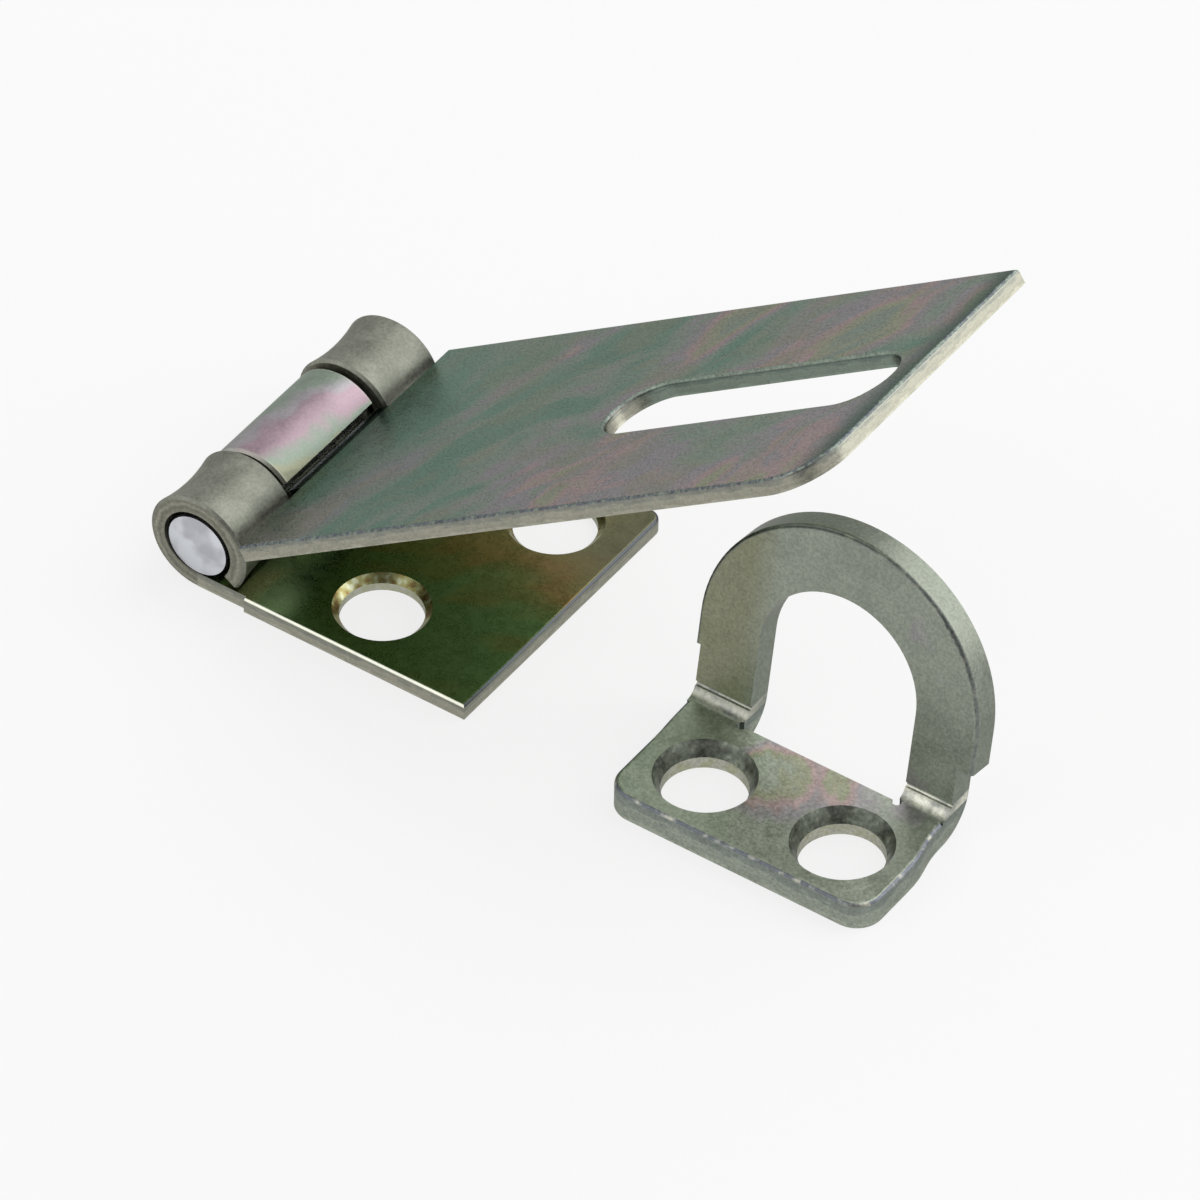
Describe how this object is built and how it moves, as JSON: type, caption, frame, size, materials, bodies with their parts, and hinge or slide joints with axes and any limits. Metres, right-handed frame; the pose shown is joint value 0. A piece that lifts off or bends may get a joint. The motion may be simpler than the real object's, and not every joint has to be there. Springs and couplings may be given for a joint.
{
  "type": "safety hasp",
  "caption": "Hinged safety hasp with a slotted strap on a curled pin hinge, a countersunk screw leaf and a separate screw-on loop staple for a padlock.",
  "frame": {"origin": "midway between the leaf's two screw holes, on the leaf's back face", "axes": "+X from the hinge towards the strap's tip, +Y along the hinge pin, +Z out of the mounting surface"},
  "size_m": [0.0608, 0.0261, 0.037],
  "materials": {
    "passivated_sheet": "satin yellow-passivated zinc plate",
    "passivated_plate": "satin yellow-passivated zinc plate",
    "bright_pin": "bright zinc"
  },
  "bodies": {
    "base": {"hinge_leaf": "passivated_sheet", "hinge_pin": "bright_pin", "staple": "passivated_plate"},
    "strap": {"strap": "passivated_sheet"}
  },
  "joints": [
    {"name": "strap_hinge", "type": "hinge", "parent": "base", "child": "strap", "pos_m": [-0.0145, 0, 0.00368], "axis": [0, -1, 0], "range_deg": [-34, 146]}
  ]
}
